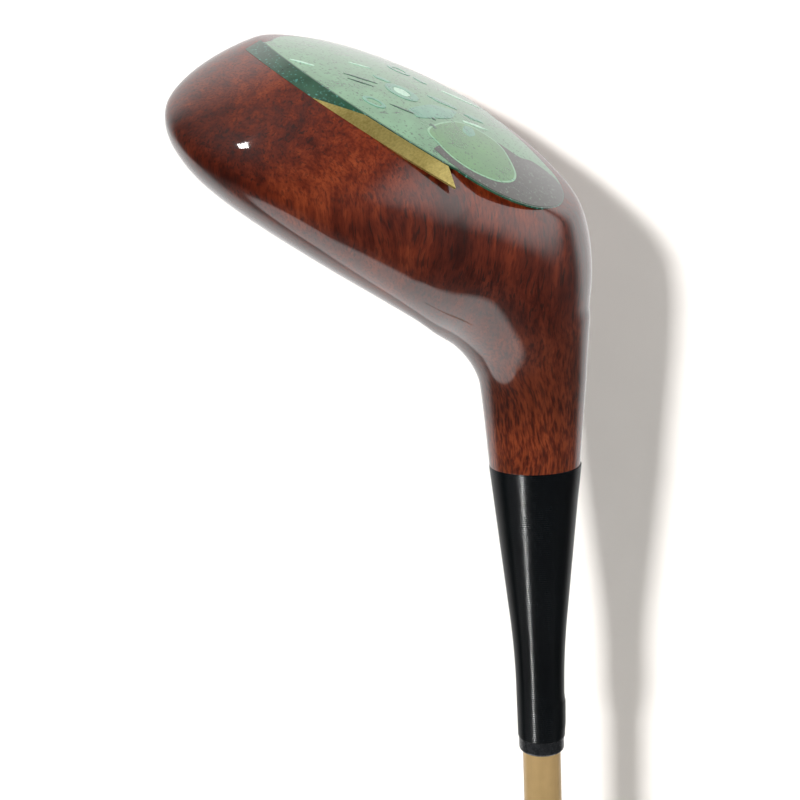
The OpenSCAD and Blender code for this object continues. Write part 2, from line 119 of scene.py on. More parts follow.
# Cubic through the stations: each value and its mean slope, weighed by the four Hermite weights
def sectionAt(x):
    xs, ys = stations[:, 0], stations[:, 1:]
    chord = np.diff(ys, axis=0) / np.diff(xs)[:, None]
    slope = np.vstack([chord[:1], (chord[1:] + chord[:-1]) / 2, chord[-1:]])
    i = np.clip(np.searchsorted(xs, x, side="right") - 1, 0, len(xs) - 2)
    h = (xs[i + 1] - xs[i])[..., None]
    t = (x - xs[i])[..., None] / h
    return ((2 * t ** 3 - 3 * t ** 2 + 1) * ys[i] + (t ** 3 - 2 * t ** 2 + t) * h * slope[i]
            + (3 * t ** 2 - 2 * t ** 3) * ys[i + 1] + (t ** 3 - t ** 2) * h * slope[i + 1])


# Ball of the sole, sunk by a depth: w = R - root of (R - depth)^2 less the squared distance from its low point
def soleHeight(u, v, depth=0.0):
    r = head["soleRadius"]
    inside = (r - depth) ** 2 - (u - head["soleLowPoint"]) ** 2 - v ** 2
    return r - np.sqrt(np.maximum(inside, 1))


# Ball of the face, touching the loft plane at its middle: v = centre + root of R^2 less the squared distance
def faceReach(u, w):
    r = head["faceRadius"]
    middleU, middleW = head["faceMiddle"]
    centreV = head["leadingEdge"] - middleW * math.tan(loftAngle) - r * math.cos(loftAngle)
    centreW = middleW - r * math.sin(loftAngle)
    return centreV + np.sqrt(np.maximum(r ** 2 - (u - middleU) ** 2 - (w - centreW) ** 2, 1))


# Superellipse around a spine that is straight, then bends through the lie angle, then is straight again.
# Each quarter's reach is sign(c)|c|^(2/n), and the toe shrinks it by (1 - q^p)^(1/p)
def skin(x, angle):
    row = sectionAt(x)
    c, s = np.cos(angle), np.sin(angle)
    roundness = np.where(c >= 0, np.where(s >= 0, row[..., 6], row[..., 9]),
                         np.where(s >= 0, row[..., 7], row[..., 8]))
    q = np.clip((spineStart + head["toeRound"] - x) / head["toeRound"], 0, 1)
    left = (1 - q ** head["toePower"]) ** (1 / head["toePower"])
    across = np.sign(c) * np.abs(c) ** (2 / roundness)
    rise = np.sign(s) * np.abs(s) ** (2 / roundness)
    v = row[..., 0] + left * np.where(c >= 0, row[..., 2], row[..., 3]) * across
    e = row[..., 1] + left * np.where(s >= 0, row[..., 4], row[..., 5]) * rise
    turn = np.clip(x / bendRadius, 0, lieAngle)
    past = np.maximum(x - bendLength, 0)
    before = np.maximum(-x, 0)
    r = bendRadius - e
    u = before - head["bendInset"] - r * np.sin(turn) - past * math.cos(lieAngle)
    w = head["bendHeight"] - r * np.cos(turn) + past * math.sin(lieAngle)
    return np.stack([u, v, w], -1)


# Head frame to club frame: turned by the lie angle at the ground line
def toClub(points):
    u, v, w = points[..., 0], points[..., 1], points[..., 2]
    x = -math.sin(lieAngle) * u - math.cos(lieAngle) * w
    z = math.cos(lieAngle) * u - math.sin(lieAngle) * w
    return np.stack([x, v, z], -1) * metresPerMm + np.array([0, 0, groundLine])


# Faces of a closed grid: columns wrap round; rows end in a pole point at each end, or wrap as well
def closedFaces(rows, cols, rowsWrap):
    i = np.arange(rows if rowsWrap else rows - 1)[:, None]
    j = np.arange(cols)[None, :]
    nextRow, nextCol = (i + 1) % rows, (j + 1) % cols
    quads = np.stack([i * cols + j, i * cols + nextCol, nextRow * cols + nextCol, nextRow * cols + j], -1)
    faces = quads.reshape(-1, 4).tolist()
    if not rowsWrap:
        j = np.arange(cols)
        first, last = rows * cols, rows * cols + 1
        faces += np.stack([(j + 1) % cols, j, np.full(cols, first)], -1).tolist()
        base = (rows - 1) * cols
        faces += np.stack([base + j, base + (j + 1) % cols, np.full(cols, last)], -1).tolist()
    return faces


# A closed grid as points and faces; its poles are the means of the end rows. Six volumes by fans of
# each face tell which way the faces point, and they are turned to point outwards
def closedGrid(grid, rowsWrap=False):
    rows, cols = grid.shape[:2]
    points = grid.reshape(-1, 3)
    faces = closedFaces(rows, cols, rowsWrap)
    if not rowsWrap:
        points = np.vstack([points, grid[0].mean(0), grid[-1].mean(0)])
    middle = points.mean(0)
    quads = np.array([f if len(f) == 4 else f + f[-1:] for f in faces])
    a, b, c, d = (points[quads[:, k]] - middle for k in range(4))
    volume = (np.einsum("ij,ij->i", a, np.cross(b, c)) + np.einsum("ij,ij->i", a, np.cross(c, d))).sum()
    if volume < 0:
        faces = [f[::-1] for f in faces]
    return points, faces


# Several point and face sets as one
def together(parts):
    points, faces, count = [], [], 0
    for p, f in parts:
        points.append(p)
        faces += [[k + count for k in face] for face in f]
        count += len(p)
    return np.vstack(points), faces


# One mesh object on the one body, standing in for its CAD node
def makePiece(name, shape, node, material, sharp=35):
    points, faces = shape
    mesh = bpy.data.meshes.new(name)
    mesh.from_pydata(points.tolist(), [], faces)
    mesh.shade_smooth()
    mesh.set_sharp_from_angle(angle=math.radians(sharp))
    mesh.materials.append(material)
    mesh.update()
    piece = bpy.data.objects.new(name, mesh)
    bpy.context.scene.collection.objects.link(piece)
    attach(piece, "root")
    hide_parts(node)
    print(name, len(faces), "faces")
    return piece


# Profile carried round the shaft's axis: x = r cos a, y = r sin a at each height
def turned(heights, radii, sides, rowsWrap=False):
    a = np.linspace(0, 2 * math.pi, sides, endpoint=False)[None, :]
    r = np.asarray(radii)
    r = r[:, None] if r.ndim == 1 else r
    z = np.asarray(heights)[:, None] + 0 * a
    return closedGrid(np.stack([r * np.cos(a), r * np.sin(a), z], -1), rowsWrap)


# Surface finishes: a small helper that builds a node tree on a principled shader
class Tree:
    def __init__(self, name, **sockets):
        self.material = bpy.data.materials.new(name)
        self.material.use_nodes = True
        self.nodes = self.material.node_tree.nodes
        self.links = self.material.node_tree.links
        self.shader = self.nodes["Principled BSDF"]
        for socket, value in sockets.items():
            self.shader.inputs[socket.replace("_", " ")].default_value = value
        self.place = self.add("ShaderNodeTexCoord").outputs["Object"]

    def add(self, kind, inputs=None, **settings):
        node = self.nodes.new(kind)
        for key, value in settings.items():
            setattr(node, key, value)
        for key, value in (inputs or {}).items():
            if isinstance(value, bpy.types.NodeSocket):
                self.links.new(value, node.inputs[key])
            else:
                node.inputs[key].default_value = value
        return node

    def into(self, socket, value):
        self.links.new(value, self.shader.inputs[socket])

    def mapped(self, scale, rotation=(0, 0, 0), location=(0, 0, 0)):
        return self.add("ShaderNodeMapping", {"Vector": self.place, "Scale": scale, "Rotation": rotation,
                                              "Location": location}).outputs[0]

    def noise(self, vector, scale, detail=3.0, roughness=0.5, distortion=0.0):
        return self.add("ShaderNodeTexNoise", {"Vector": vector, "Scale": scale, "Detail": detail,
                                               "Roughness": roughness, "Distortion": distortion}).outputs[0]

    def ramp(self, value, stops):
        node = self.add("ShaderNodeValToRGB", {"Fac": value})
        elements = node.color_ramp.elements
        while len(elements) < len(stops):
            elements.new(0.5)
        for element, (at, colour) in zip(elements, stops):
            element.position = at
            element.color = (*colour, 1) if len(colour) == 3 else colour
        return node.outputs[0]

    def span(self, value, low, high, to=(0.0, 1.0)):
        return self.add("ShaderNodeMapRange", {0: value, 1: low, 2: high, 3: to[0], 4: to[1]}).outputs[0]

    def math(self, operation, a, b=0.0):
        return self.add("ShaderNodeMath", {0: a, 1: b}, operation=operation).outputs[0]

    def mix(self, factor, a, b, blend="MIX"):
        node = self.add("ShaderNodeMix", data_type="RGBA", blend_type=blend)
        for index, value in ((0, factor), (6, a), (7, b)):
            if isinstance(value, bpy.types.NodeSocket):
                self.links.new(value, node.inputs[index])
            elif index:
                node.inputs[index].default_value = (*value, 1)
            else:
                node.inputs[index].default_value = value
        return node.outputs[2]

    def bump(self, height, strength, distance):
        node = self.add("ShaderNodeBump", {"Height": height, "Strength": strength, "Distance": distance})
        self.into("Normal", node.outputs[0])


# Stained hardwood under clear lacquer: streaks and short pores along the shaft's direction over a broad
# figure, times a painted shade: lighter near the sole, darker towards the crown, which faces down, and gone at
# the neck
def woodFinish():
    t = Tree("lacqueredWood", Roughness=0.45, Coat_Weight=1.0, Coat_Roughness=0.035, Coat_IOR=1.5,
             Specular_IOR_Level=0.25)
    warp = t.noise(t.place, 30.0, 2.0)
    sideways = t.add("ShaderNodeCombineXYZ", {0: warp, 1: warp, 2: 0.0}).outputs[0]
    push = t.add("ShaderNodeVectorMath", {0: sideways, 1: (0.010, 0.010, 0.0)}, operation="MULTIPLY")
    bent = t.add("ShaderNodeVectorMath", {0: t.place, 1: push.outputs[0]}, operation="ADD").outputs[0]

    def alongGrain(stretch, lean):
        return t.add("ShaderNodeMapping", {"Vector": bent, "Rotation": (0.0, lean, 0.0),
                                           "Scale": (1.0, 1.0, stretch)}).outputs[0]

    broad = t.noise(t.place, 48.0, 3.0, 0.55, 0.6)
    streak = t.noise(alongGrain(0.10, 0.22), 420.0, 4.0, 0.65)
    grain = t.noise(alongGrain(0.20, 0.12), 1900.0, 3.0, 0.6)
    pores = t.noise(alongGrain(0.13, 0.12), 1700.0, 1.0, 0.4)
    tone = t.math("ADD", t.math("MULTIPLY", streak, 0.5), t.math("MULTIPLY", broad, 0.5))
    stain = t.ramp(tone, [(0.36, (0.030, 0.0042, 0.0018)), (0.46, (0.070, 0.0098, 0.0030)),
                          (0.54, (0.110, 0.0170, 0.0046)), (0.66, (0.19, 0.037, 0.0100))])
    height = t.add("ShaderNodeSeparateXYZ", {0: t.place}).outputs[2]
    neckShare = t.math("MULTIPLY", t.span(height, groundLine - 0.034, groundLine - 0.056), 0.5)
    neckStain = t.ramp(grain, [(0.36, (0.052, 0.0080, 0.0022)), (0.62, (0.22, 0.048, 0.0120))])
    warm = t.mix(neckShare, stain, neckStain)
    speckled = t.mix(t.ramp(grain, [(0.38, (1, 1, 1)), (0.54, (0, 0, 0))]), warm,
                     t.mix(1.0, warm, (0.62, 0.50, 0.46), "MULTIPLY"))
    poreShare = t.math("MULTIPLY", t.ramp(pores, [(0.33, (1, 1, 1)), (0.41, (0, 0, 0))]),
                       t.span(broad, 0.40, 0.60, (0.85, 0.45)))
    towardsCrown = (-math.cos(lieAngle), 0.0, -math.sin(lieAngle))
    depth = t.add("ShaderNodeVectorMath", {0: t.place, 1: towardsCrown}, operation="DOT_PRODUCT").outputs[1]
    ground = -math.sin(lieAngle) * groundLine
    # painted shade: colour raised by 1.35 near the sole and cut to 0.62 towards the crown, where the head faces
    # down from the lamps; lifted to 1 at the neck
    paintedCrownShade = t.span(depth, ground + 0.006, ground + 0.027, (1.35, 0.62))
    paintedShadeOffNeck = t.math("MAXIMUM", paintedCrownShade, t.span(height, groundLine - 0.040, groundLine - 0.062, (0.0, 1.0)))
    paintedShadeTint = t.add("ShaderNodeCombineXYZ", {0: paintedShadeOffNeck, 1: t.math("MULTIPLY", paintedShadeOffNeck, 0.92),
                                               2: t.math("MULTIPLY", paintedShadeOffNeck, 0.88)}).outputs[0]
    shaded = t.mix(1.0, t.mix(poreShare, speckled, (0.016, 0.0045, 0.003)), paintedShadeTint, "MULTIPLY")
    t.into("Base Color", shaded)
    t.into("Roughness", t.span(streak, 0.3, 0.7, (0.38, 0.52)))
    t.bump(grain, 0.05, 0.0001)
    return t.material


# Enamel under clear gloss: cloudy colour between two tones, faint specks, a little relief in the gloss
def enamelFinish(name, deep, pale, cloud, speck, speckShare):
    t = Tree(name, Roughness=0.30, Coat_Weight=0.9, Coat_Roughness=0.06, Coat_IOR=1.5)
    clouds = t.noise(t.place, cloud, 4.0, 0.6, 0.4)
    specks = t.noise(t.mapped((1.0, 1.0, 1.0)), 1500.0, 1.0)
    base = t.ramp(clouds, [(0.32, deep), (0.68, pale)])
    mask = t.ramp(specks, [(0.34 - 0.1 * speckShare, (1, 1, 1)), (0.38, (0, 0, 0))])
    t.into("Base Color", t.mix(mask, base, speck))
    t.into("Roughness", t.span(clouds, 0.3, 0.7, (0.24, 0.38)))
    t.bump(clouds, 0.10, 0.0004)
    return t.material


# Metal: brushed along one direction, with cloudy tarnish in colour and roughness
def metalFinish(name, bright, dull, roughness, brush, metallic=1.0, coat=0.0, turn=(0.0, 0.0, 0.0)):
    t = Tree(name, Metallic=metallic, Coat_Weight=coat, Coat_Roughness=0.08)
    lines = t.noise(t.mapped(brush, turn), 1.0, 3.0, 0.6)
    tarnish = t.noise(t.place, 160.0, 3.0, 0.6)
    mixed = t.math("ADD", t.math("MULTIPLY", lines, 0.5), t.math("MULTIPLY", tarnish, 0.5))
    t.into("Base Color", t.ramp(mixed, [(0.36, dull), (0.62, bright)]))
    t.into("Roughness", t.span(mixed, 0.3, 0.7, (roughness + 0.08, roughness - 0.06)))
    t.bump(lines, 0.08, 0.0001)
    return t.material


# Soft solids: two close tones, a fine tooth in the bump
def plainFinish(name, low, high, roughness, scale, bumpDepth, stretch=(1.0, 1.0, 1.0), gloss=0.5):
    t = Tree(name, Specular_IOR_Level=gloss)
    tooth = t.noise(t.mapped(stretch), scale, 4.0, 0.6)
    worn = t.noise(t.place, 60.0, 2.0)
    mixed = t.math("ADD", t.math("MULTIPLY", tooth, 0.6), t.math("MULTIPLY", worn, 0.4))
    t.into("Base Color", t.ramp(mixed, [(0.35, low), (0.65, high)]))
    t.into("Roughness", t.span(mixed, 0.3, 0.7, (roughness - 0.05, roughness + 0.08)))
    t.bump(tooth, 0.25, bumpDepth)
    return t.material


finishes = {
    "head_wood": woodFinish(),
    "insert_resin": enamelFinish("insertResin", (0.22, 0.010, 0.008), (0.34, 0.022, 0.014), 90.0,
                                 (0.12, 0.006, 0.006), 0.2),
    "brass_screws": metalFinish("screwBrass", (0.80, 0.60, 0.28), (0.55, 0.38, 0.14), 0.26, (700, 700, 700)),
    "plate_metal": enamelFinish("platePaint", (0.006, 0.034, 0.017), (0.017, 0.080, 0.042), 170.0,
                                (0.06, 0.22, 0.18), 0.5),
    "enamel_green": enamelFinish("fieldEnamel", (0.080, 0.225, 0.105), (0.150, 0.350, 0.185), 120.0,
                                 (0.03, 0.09, 0.05), 0.1),
    "enamel_dark": enamelFinish("darkEnamel", (0.018, 0.016, 0.012), (0.036, 0.031, 0.024), 120.0,
                                (0.09, 0.12, 0.09), 0.2),
    "enamel_leaf": enamelFinish("leafEnamel", (0.065, 0.200, 0.070), (0.110, 0.290, 0.100), 140.0,
                                (0.04, 0.12, 0.05), 0.1),
    "enamel_turquoise": enamelFinish("markEnamel", (0.075, 0.26, 0.175), (0.15, 0.38, 0.26), 260.0,
                                     (0.04, 0.16, 0.12), 0.3),
    "weight_brass": metalFinish("weightBrass", (0.64, 0.52, 0.175), (0.38, 0.30, 0.085), 0.36,
                                (2600, 320, 2600), metallic=0.75, coat=0.3, turn=(0.0, 0.56, 0.0)),
    "lead": metalFinish("castLead", (0.36, 0.37, 0.39), (0.20, 0.21, 0.22), 0.55, (300, 300, 300)),
    "cork": plainFinish("corkGrain", (0.30, 0.18, 0.09), (0.62, 0.44, 0.26), 0.8, 900.0, 0.0004),
    "ferrule_plastic": plainFinish("ferrulePlastic", (0.006, 0.007, 0.008), (0.014, 0.015, 0.017), 0.24, 900.0,
                                   0.00003),
    "whipping_thread": plainFinish("waxedThread", (0.0006, 0.0010, 0.0014), (0.0018, 0.0028, 0.0036), 0.17,
                                   2400.0, 0.00006, stretch=(1.0, 1.0, 0.35), gloss=0.09),
    "shaft_gold": metalFinish("satinGold", (0.49, 0.33, 0.145), (0.42, 0.285, 0.122), 0.42, (500, 500, 40),
                              metallic=0.35, coat=0.2),
    "tape": plainFinish("clothTape", (0.62, 0.55, 0.38), (0.80, 0.74, 0.56), 0.7, 2600.0, 0.0002),
    "grip_rubber": plainFinish("gripRubber", (0.012, 0.012, 0.013), (0.032, 0.032, 0.034), 0.62, 1900.0,
                               0.00025),
    "cap_rubber": plainFinish("capRubber", (0.015, 0.015, 0.016), (0.036, 0.036, 0.038), 0.58, 1900.0, 0.0002),
}
paleMark = enamelFinish("paleEnamel", (0.36, 0.62, 0.46), (0.52, 0.76, 0.60), 260.0, (0.2, 0.4, 0.3), 0.2)
inkMark = enamelFinish("inkEnamel", (0.030, 0.075, 0.055), (0.05, 0.12, 0.085), 260.0, (0.01, 0.02, 0.02), 0.2)
edgeMark = enamelFinish("edgeEnamel", (0.16, 0.36, 0.20), (0.26, 0.50, 0.30), 260.0, (0.1, 0.3, 0.2), 0.2)
print("finishes made")

# Wooden head
wood = {
    "rings": 232, "sides": 384, "toeRings": 66,
    "apexGap": 0.02,         # the first ring's distance from the toe's very end
    "neckIn": 0.1,           # how far the wood stays inside the neck's nominal radius
    "rootBefore": 8.0, "rootAfter": 6.0, "rootGrown": 2.0,      # stretch over which the neck's cone takes over
    "tuckIn": 0.9, "tuckFrom": 0.2, "tuckTo": 1.4,              # the wood shrinks where the thread covers it
    "coneBlend": 1.2,
}


# Skin, then the neck's cone pushed out where it is thicker, then the face and the sole cut it softly
def headGrid():
    bends = np.linspace(0, math.pi / 2, wood["toeRings"] + 1)[1:]
    toe = spineStart + head["toeRound"] * (1 - np.cos(bends)) + wood["apexGap"] * np.cos(bends)
    rest = np.linspace(spineStart + head["toeRound"], spineEnd, wood["rings"] - wood["toeRings"] + 1)[1:]
    x = np.concatenate([toe, rest])[:, None]
    angle = np.linspace(0, 2 * math.pi, wood["sides"], endpoint=False)[None, :]
    grid = skin(x + 0 * angle, angle + 0 * x)
    u, v, w = grid[..., 0], grid[..., 1], grid[..., 2]
    across = -math.sin(lieAngle) * u - math.cos(lieAngle) * w
    down = math.sin(lieAngle) * w - math.cos(lieAngle) * u
    rootStart = head["neckRoot"] - wood["rootBefore"]
    neckEnd = head["neckLength"]
    cone = head["neckRadius"] - wood["neckIn"] + head["neckFlare"] * (neckEnd - down)
    cone = cone * easeBetween(rootStart, head["neckRoot"] + wood["rootAfter"], down)
    cone = cone - wood["tuckIn"] * easeBetween(neckEnd + wood["tuckFrom"], neckEnd + wood["tuckTo"], down)
    r = np.hypot(across, v)
    grow = softMax(r, cone, wood["coneBlend"]) / np.maximum(r, 0.1)
    grow = 1 + (grow - 1) * easeBetween(rootStart, head["neckRoot"] + wood["rootGrown"], down)
    across, v = across * grow, v * grow
    u = -math.sin(lieAngle) * across - math.cos(lieAngle) * down
    w = -math.cos(lieAngle) * across + math.sin(lieAngle) * down
    coneFront = np.sqrt(np.maximum(cone ** 2 - across ** 2, 0))
    front = softMax(faceReach(u, w), coneFront, head["neckBlend"])
    v = -softMax(-v, -front, head["faceRound"])
    fromCentre = np.stack([u, v], -1) - np.array(head["bevelCentre"])
    reach = np.maximum(np.linalg.norm(fromCentre, axis=-1), 0.1)
    held = -softMax(-reach, -(head["bevelRadius"] + head["bevelRun"] * w), head["bevelRound"])
    u, v = np.moveaxis(np.array(head["bevelCentre"]) + fromCentre * (held / reach)[..., None], -1, 0)
    w = softMax(w, soleHeight(u, v), head["crestRound"])
    return np.stack([u, v, w], -1)


makePiece("headWood", closedGrid(toClub(headGrid())), "head_body", finishes["head_wood"], sharp=60)

# Sole plate, its colours and its back weight
sole = {
    "heelCentre": (6.0, -8.0), "heelRadius": 19.7,
    "toeCentre": (30.0, -3.0), "toeRadius": 32.0,
    "plateThick": 1.6,
    "rim": 0.35,
    "heelHigh": 4.0, "heelLow": -0.3,      # heel end of the brass at the strip's upper and lower edge
    "seamHigh": 22.6, "seamLow": 34.7,     # slanting seam between brass and plate
    "stripEnd": 60.0,
    # where each slab's rings shrink to
    "plateMiddle": (28, -6), "darkMiddle": (0.5, -12), "lobeMiddle": (6, -14.5),
    "plateLift": 0.03, "stripLift": 0.05, "greenLift": 0.07, "darkLift": 0.10, "lobeEdgeLift": 0.13,
    "lobeLift": 0.15, "markLift": 0.13, "ringLift": 0.14,       # how far each layer stands off the ball
}


# Line on the bevel cone where it meets the sole ball of a given depth, at turns round the cone's centre:
# the cone's radius and the ball's height are worked out from each other until they agree
def bevelLine(turns, depth):
    centreU, centreV = head["bevelCentre"]
    w = np.full_like(turns, 4.0)
    for _ in range(50):
        r = head["bevelRadius"] + head["bevelRun"] * w
        u, v = centreU + r * np.cos(turns), centreV + r * np.sin(turns)
        w = (w + soleHeight(u, v, depth)) / 2
    return np.stack([u, v, w], -1)


# Turn round the cone's centre at which that line reaches a place along the ground line, by halving
def turnAt(u, depth):
    low, high = np.full_like(u, math.radians(-150)), np.full_like(u, math.radians(-15))
    for _ in range(40):
        middle = (low + high) / 2
        short = bevelLine(middle, depth)[..., 0] < u
        low, high = np.where(short, middle, low), np.where(short, high, middle)
    return (low + high) / 2


# Plan of the upper edge of the bevel at places along the ground line
def crestLine(u):
    return bevelLine(turnAt(u, 0.0), 0.0)[..., :2]


# Arc in plan from one angle to another, in degrees
def arcLine(centre, radius, start, end, count):
    a = np.radians(np.linspace(start, end, count))
    return np.stack([centre[0] + radius * np.cos(a), centre[1] + radius * np.sin(a)], -1)


# Straight pieces cut into short steps, so that every part follows the ball
def stepped(points, step=0.6):
    points = np.asarray(points, float)
    nextOnes = np.roll(points, -1, axis=0)
    out = []
    for a, b in zip(points, nextOnes):
        n = max(1, int(np.linalg.norm(b - a) / step))
        out.append(a + (b - a) * (np.arange(n) / n)[:, None])
    return np.vstack(out)


# Closed outline of the plate in plan: heel arc, crest, toe arc, leading edge, front corner
def plateOutline(rim):
    heel = arcLine(sole["heelCentre"], sole["heelRadius"] - rim, 125, 259, 60)
    crest = crestLine(np.linspace(sole["heelHigh"] + 0.5, sole["stripEnd"] - 1.5 - rim, 110))
    crest = crest + np.array([0, rim])
    toe = arcLine(sole["toeCentre"], sole["toeRadius"] - rim, -26, 58, 60)
    edgeU = np.linspace(toe[-1, 0], 27.0, 30)[1:]
    edge = np.stack([edgeU, np.full_like(edgeU, toe[-1, 1])], -1)
    front = np.array([[26.0, 20.3 - rim], [13.0, 15.0 - rim]])
    outline = stepped(np.vstack([heel, crest, toe, edge, front]))
    u = outline[:, 0]
    outline[:, 1] = np.minimum(outline[:, 1], faceReach(u, soleHeight(u, 21.0 + 0 * u)) - 0.7 - rim)
    return outline


# Slab on the sole: rings shrink from the outline to a middle, above at a height off the ball, below
# inside the wood
def soleSlab(outline, proud, centre=None, thick=0.35, rings=26, dome=0.0):
    outline = np.asarray(outline)
    centre = outline.mean(0) if centre is None else np.asarray(centre)
    share = np.linspace(0.03, 1, rings)[:, None, None]
    plan = centre + (outline - centre) * share
    lift = proud + dome * (1 - share[..., 0] ** 4)
    height = soleHeight(plan[..., 0], plan[..., 1])
    top = np.concatenate([plan, (height - lift)[..., None]], -1)
    bottom = np.concatenate([plan, (height + thick)[..., None]], -1)[::-1]
    return closedGrid(toClub(np.concatenate([top, bottom])))


# Strip of the bevel between the crest and the plate's depth. share runs down it, along runs from heel to
# toe; each point lies on the cone's straight line, moved along the cone's normal
def bevelStrip(startU, endU, proud, top=0.0, thick=0.5, rows=150, cols=14):
    share = np.linspace(top, 1.0, cols)[None, :]
    along = np.linspace(0, 1, rows)[:, None]
    u = startU(share) + (endU(share) - startU(share)) * along
    high = turnAt(u, 0.0)
    crest = bevelLine(high, 0.0)
    low = bevelLine(turnAt(u, sole["plateThick"]), sole["plateThick"])
    grid = crest + (low - crest) * share[..., None]
    run = head["bevelRun"]
    normal = np.stack([np.cos(high), np.sin(high), -run + 0 * high], -1) / math.hypot(1, run)
    outer, inner = grid + normal * proud, grid - normal * thick
    return closedGrid(toClub(np.concatenate([outer, inner[:, ::-1]], axis=1)))


# Slanting ends of the strip: each place along the ground line goes straight from the upper to the lower edge
def seam(share):
    return sole["seamHigh"] + (sole["seamLow"] - sole["seamHigh"]) * share


def heelEnd(share):
    return sole["heelHigh"] + (sole["heelLow"] - sole["heelHigh"]) * share


plateEdge = bevelStrip(seam, lambda share: sole["stripEnd"] + 0 * share, sole["stripLift"])
plateTop = soleSlab(plateOutline(0.0), sole["plateLift"], sole["plateMiddle"], rings=40)
makePiece("solePlate", together([plateTop, plateEdge]), "sole_plate", finishes["plate_metal"])
makePiece("brassWeight", bevelStrip(heelEnd, seam, sole["stripLift"], top=0.06), "back_weight",
          finishes["weight_brass"])
greenShape = soleSlab(plateOutline(sole["rim"]), sole["greenLift"], sole["plateMiddle"], rings=60)
makePiece("greenField", greenShape, "sole_enamel_field", finishes["enamel_green"])


# Smooth closed line through points: each stretch is eased by the mean slopes at its ends
def rounded(points, count=24):
    p = np.asarray(points, float)
    before, after, further = np.roll(p, 1, 0), np.roll(p, -1, 0), np.roll(p, -2, 0)
    t = np.linspace(0, 1, count, endpoint=False)[None, :, None]
    a, b, m, n = p[:, None], after[:, None], (after - before)[:, None] / 2, (further - p)[:, None] / 2
    curve = ((2 * t ** 3 - 3 * t ** 2 + 1) * a + (t ** 3 - 2 * t ** 2 + t) * m
             + (3 * t ** 2 - 2 * t ** 3) * b + (t ** 3 - t ** 2) * n)
    return curve.reshape(-1, 2)


# Points past the heel arc are pulled straight back onto it: centre + (p - centre) limit / r
def insideHeel(points, rim):
    p = np.asarray(points, float)
    c = np.array(sole["heelCentre"])
    d = p - c
    r = np.linalg.norm(d, axis=1, keepdims=True)
    limit = sole["heelRadius"] - rim
    return np.where((r > limit) & (p[:, :1] < 9.5), c + d * limit / np.maximum(r, 1e-6), p)


darkFar = rounded([[8.9, -6], [6, -3], [1, -1], [-1, 3.4], [-6, 5.6], [-10, 4.6], [-20, 6], [-30, -10],
                   [-20, -40], [4, -40], [8.9, -27], [8.9, -14]])
darkOutline = insideHeel(darkFar, sole["rim"])
crestAt = crestLine(np.clip(darkOutline[:, 0], 2.0, 58.0))[:, 1] + sole["rim"]
darkOutline[:, 1] = np.where(darkOutline[:, 0] > 2.0, np.maximum(darkOutline[:, 1], crestAt), darkOutline[:, 1])
makePiece("darkField", soleSlab(darkOutline, sole["darkLift"], sole["darkMiddle"], rings=30), "sole_dark_field",
          finishes["enamel_dark"])
lobeOutline = rounded([[-4.5, -15], [-3.4, -19.5], [0, -23], [4.5, -24.6], [9.5, -23.8], [14, -21], [14, -9],
                       [9.5, -4.6], [5, -4.2], [0.8, -7.0], [-3.2, -11]])
makePiece("leafLobe", soleSlab(lobeOutline, sole["lobeLift"], sole["lobeMiddle"], rings=24), "sole_lobe",
          finishes["enamel_leaf"])
lobeEdge = sole["lobeMiddle"] + (lobeOutline - sole["lobeMiddle"]) * 1.05
makePiece("lobeOutline", soleSlab(lobeEdge, sole["lobeEdgeLift"], sole["lobeMiddle"], rings=20), "sole_lobe",
          edgeMark)


# Ellipse turned in plan, its reaches swelling by 1 + wave sin(waves a) where it is wavy
def ellipseLine(at, reach, turn, count=48, wave=0.0, waves=5):
    a = np.linspace(0, 2 * math.pi, count, endpoint=False)
    swell = 1 + wave * np.sin(waves * a + at[0])
    x, y = reach[0] * np.cos(a) * swell, reach[1] * np.sin(a) * swell
    c, s = math.cos(math.radians(turn)), math.sin(math.radians(turn))
    return np.stack([at[0] + c * x - s * y, at[1] + s * x + c * y], -1)


# Ring mark: a slab between two ellipses, its section wrapped round
def ringSlab(at, outer, inner, turn, proud, thick=0.3):
    big, small = ellipseLine(at, outer, turn), ellipseLine(at, inner, turn)
    rows = []
    middle = (small + big) / 2
    for line, lift in ((small, -thick), (small, proud), (middle, proud + 0.05), (big, proud), (big, -thick)):
        rows.append(np.concatenate([line, (soleHeight(line[:, 0], line[:, 1]) - lift)[:, None]], -1))
    return closedGrid(toClub(np.array(rows)), rowsWrap=True)


# place in plan, reaches, turn in degrees, waviness
marks = {
    "turquoise": [((18.8, -12), (2.7, 8.2), 6, 0.07), ((10.8, -9.2), (1.7, 3.3), -24, 0.05),
                  ((21.8, -2.5), (1.4, 3.6), 55, 0.08), ((32.5, 5.0), (2.1, 1.2), 20, 0.1),
                  ((15.0, 1.0), (1.2, 2.6), 35, 0.1), ((33.5, -11.0), (1.0, 2.0), 70, 0.1)],
    "pale": [((45.5, -24), (2.6, 0.55), -24, 0.06), ((24.0, 11.0), (1.0, 5.4), 40, 0.04),
             ((27.3, -12.3), (2.1, 1.7), 10, 0.03), ((40.5, -9.0), (2.6, 0.5), -40, 0.06),
             ((12.5, -3.2), (0.6, 3.4), 35, 0.1)],
    "ink": [((35.0, -17.5), (3.6, 0.42), -32, 0.08), ((33.4, -19.6), (2.8, 0.30), -32, 0.08),
            ((21.5, -20.5), (2.9, 0.40), -28, 0.1), ((14.4, -19.0), (1.1, 0.45), 20, 0.1),
            ((16.6, -15.6), (0.6, 0.4), 0, 0.1)],
}
rings = [((27.3, -12.3), (4.1, 3.6), (2.3, 1.9), 10), ((26.0, -25.3), (2.7, 1.9), (1.7, 1.1), -10),
         ((38.0, 4.5), (3.2, 2.6), (1.9, 1.4), 20)]
markCoats = {"turquoise": finishes["enamel_turquoise"], "pale": paleMark, "ink": inkMark}
